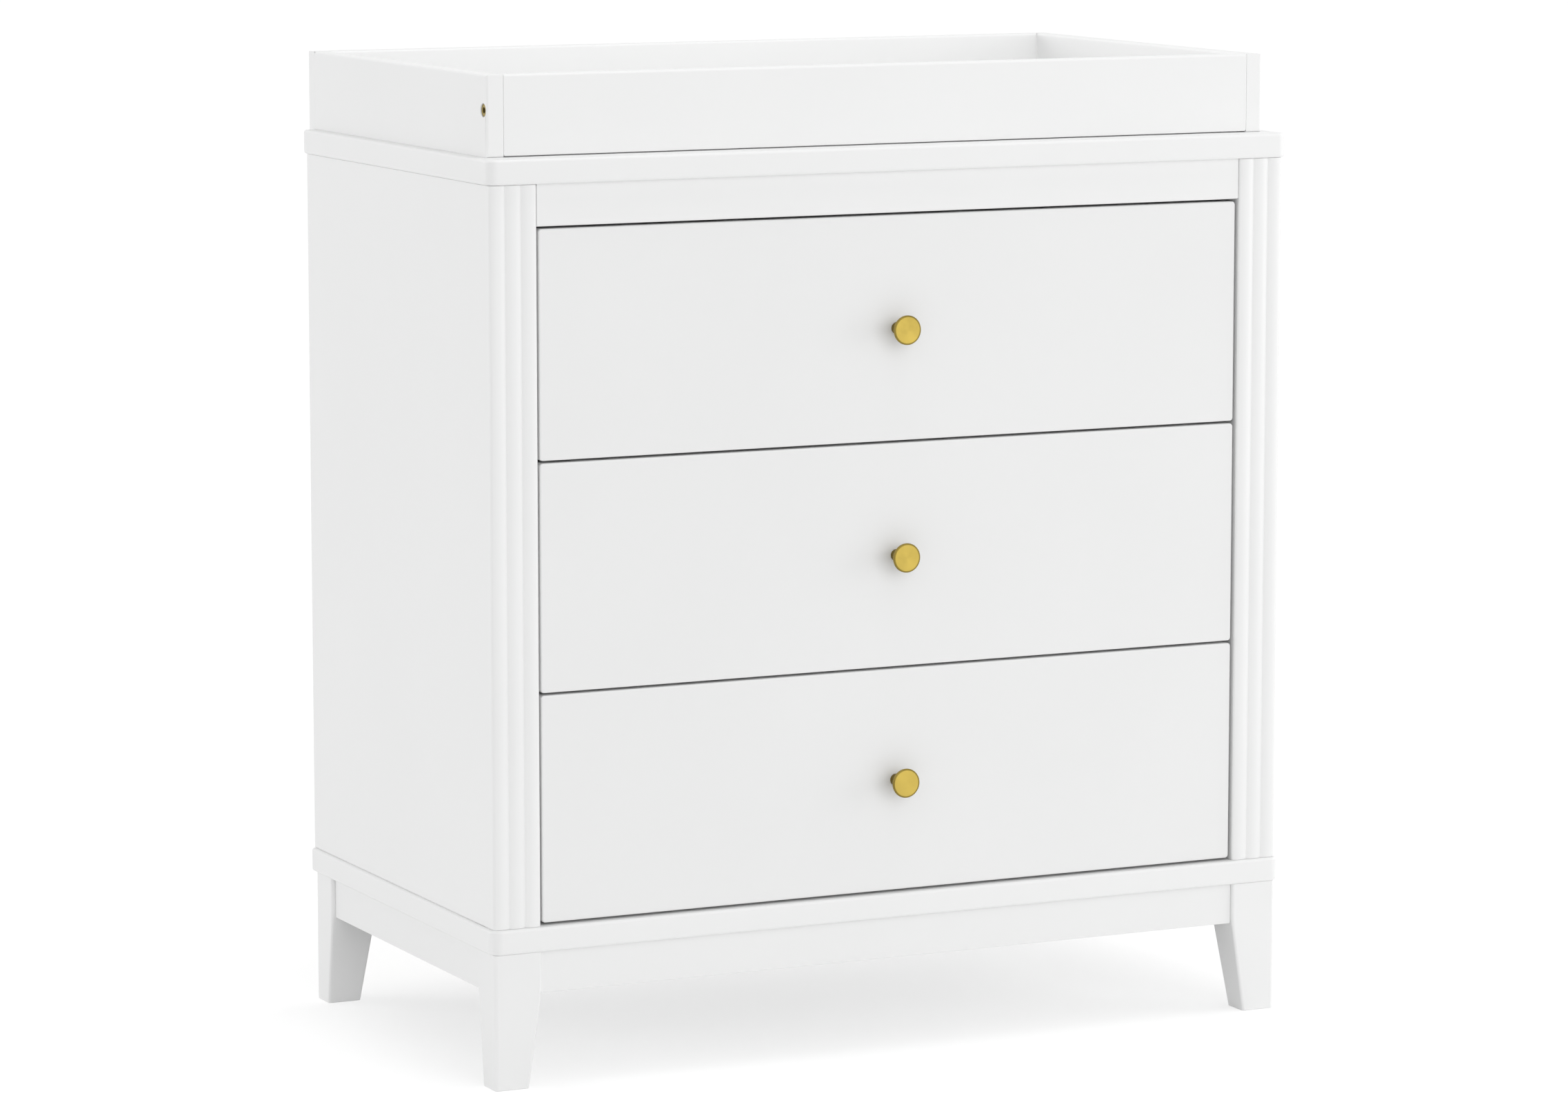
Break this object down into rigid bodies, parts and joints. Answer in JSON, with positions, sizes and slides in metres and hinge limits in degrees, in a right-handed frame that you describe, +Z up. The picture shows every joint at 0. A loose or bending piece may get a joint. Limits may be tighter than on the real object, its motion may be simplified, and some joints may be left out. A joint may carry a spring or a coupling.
{
  "type": "changing table",
  "caption": "White nursery dresser with drawers on roller runners, beaded corner posts, tapered legs and a lift-off changing tray on its top.",
  "frame": {"origin": "on the floor under the middle of the top slab", "axes": "+Z up, the drawers open towards -Y, +X to the right seen from the front"},
  "size_m": [0.902, 0.53, 1.008],
  "materials": {
    "white_paint": "satin white paint",
    "box_wood": "clear lacquered birch",
    "hardboard": "white-faced hardboard",
    "brass": "satin",
    "zinc_steel": "zinc plated",
    "coated_steel": "epoxy coated",
    "nylon": "moulded nylon"
  },
  "bodies": {
    "carcass": {"top_panel": "white_paint", "base_panel": "white_paint", "left_side_panel": "white_paint", "right_side_panel": "white_paint", "left_pilaster": "white_paint", "right_pilaster": "white_paint", "front_top_rail": "white_paint", "rear_top_rail": "white_paint", "back_panel": "hardboard", "back_panel_screws": "zinc_steel", "front_left_leg": "white_paint", "front_right_leg": "white_paint", "rear_left_leg": "white_paint", "rear_right_leg": "white_paint", "front_apron": "white_paint", "rear_apron": "white_paint", "left_apron": "white_paint", "right_apron": "white_paint", "leg_corner_brackets": "zinc_steel", "leg_bolts": "zinc_steel", "left_runner_cleats": "box_wood", "right_runner_cleats": "box_wood", "cabinet_rails": "coated_steel", "rail_screws": "zinc_steel"},
    "changing_tray": {"tray_left_end": "white_paint", "tray_right_end": "white_paint", "tray_front_board": "white_paint", "tray_back_board": "white_paint", "tray_bolts": "brass", "tray_barrel_nuts": "zinc_steel"},
    "bottom_drawer": {"bottom_drawer_front": "white_paint", "bottom_drawer_left_side": "box_wood", "bottom_drawer_right_side": "box_wood", "bottom_drawer_back": "box_wood", "bottom_drawer_bottom": "hardboard", "bottom_drawer_knob": "brass", "bottom_drawer_knob_screw": "zinc_steel", "bottom_drawer_rails": "coated_steel"},
    "bottom_drawer_rollers": {"bottom_drawer_rollers": "nylon"},
    "bottom_cabinet_rollers": {"bottom_cabinet_rollers": "nylon"},
    "middle_drawer": {"middle_drawer_front": "white_paint", "middle_drawer_left_side": "box_wood", "middle_drawer_right_side": "box_wood", "middle_drawer_back": "box_wood", "middle_drawer_bottom": "hardboard", "middle_drawer_knob": "brass", "middle_drawer_knob_screw": "zinc_steel", "middle_drawer_rails": "coated_steel"},
    "middle_drawer_rollers": {"middle_drawer_rollers": "nylon"},
    "middle_cabinet_rollers": {"middle_cabinet_rollers": "nylon"},
    "top_drawer": {"top_drawer_front": "white_paint", "top_drawer_left_side": "box_wood", "top_drawer_right_side": "box_wood", "top_drawer_back": "box_wood", "top_drawer_bottom": "hardboard", "top_drawer_knob": "brass", "top_drawer_knob_screw": "zinc_steel", "top_drawer_rails": "coated_steel"},
    "top_drawer_rollers": {"top_drawer_rollers": "nylon"},
    "top_cabinet_rollers": {"top_cabinet_rollers": "nylon"}
  },
  "joints": [
    {"name": "tray_lift", "type": "slide", "parent": "carcass", "child": "changing_tray", "axis": [0, 0, 1], "range_m": [0, 0.15]},
    {"name": "bottom_drawer_slide", "type": "slide", "parent": "carcass", "child": "bottom_drawer", "axis": [0, -1, 0], "range_m": [0, 0.32]},
    {"name": "bottom_drawer_roller_turn", "type": "hinge", "parent": "bottom_drawer", "child": "bottom_drawer_rollers", "pos_m": [0, 0.1985, 0.1917], "axis": [1, 0, 0], "continuous": true},
    {"name": "bottom_cabinet_roller_turn", "type": "hinge", "parent": "carcass", "child": "bottom_cabinet_rollers", "pos_m": [0, -0.203, 0.1923], "axis": [1, 0, 0], "continuous": true},
    {"name": "middle_drawer_slide", "type": "slide", "parent": "carcass", "child": "middle_drawer", "axis": [0, -1, 0], "range_m": [0, 0.32]},
    {"name": "middle_drawer_roller_turn", "type": "hinge", "parent": "middle_drawer", "child": "middle_drawer_rollers", "pos_m": [0, 0.1985, 0.4232], "axis": [1, 0, 0], "continuous": true},
    {"name": "middle_cabinet_roller_turn", "type": "hinge", "parent": "carcass", "child": "middle_cabinet_rollers", "pos_m": [0, -0.203, 0.4238], "axis": [1, 0, 0], "continuous": true},
    {"name": "top_drawer_slide", "type": "slide", "parent": "carcass", "child": "top_drawer", "axis": [0, -1, 0], "range_m": [0, 0.32]},
    {"name": "top_drawer_roller_turn", "type": "hinge", "parent": "top_drawer", "child": "top_drawer_rollers", "pos_m": [0, 0.1985, 0.6547], "axis": [1, 0, 0], "continuous": true},
    {"name": "top_cabinet_roller_turn", "type": "hinge", "parent": "carcass", "child": "top_cabinet_rollers", "pos_m": [0, -0.203, 0.6553], "axis": [1, 0, 0], "continuous": true}
  ],
  "couplings": [
    {"joint": "bottom_drawer_roller_turn", "follows": "bottom_drawer_slide", "rad_per_m": 100},
    {"joint": "bottom_cabinet_roller_turn", "follows": "bottom_drawer_slide", "rad_per_m": 100},
    {"joint": "middle_drawer_roller_turn", "follows": "middle_drawer_slide", "rad_per_m": 100},
    {"joint": "middle_cabinet_roller_turn", "follows": "middle_drawer_slide", "rad_per_m": 100},
    {"joint": "top_drawer_roller_turn", "follows": "top_drawer_slide", "rad_per_m": 100},
    {"joint": "top_cabinet_roller_turn", "follows": "top_drawer_slide", "rad_per_m": 100}
  ]
}
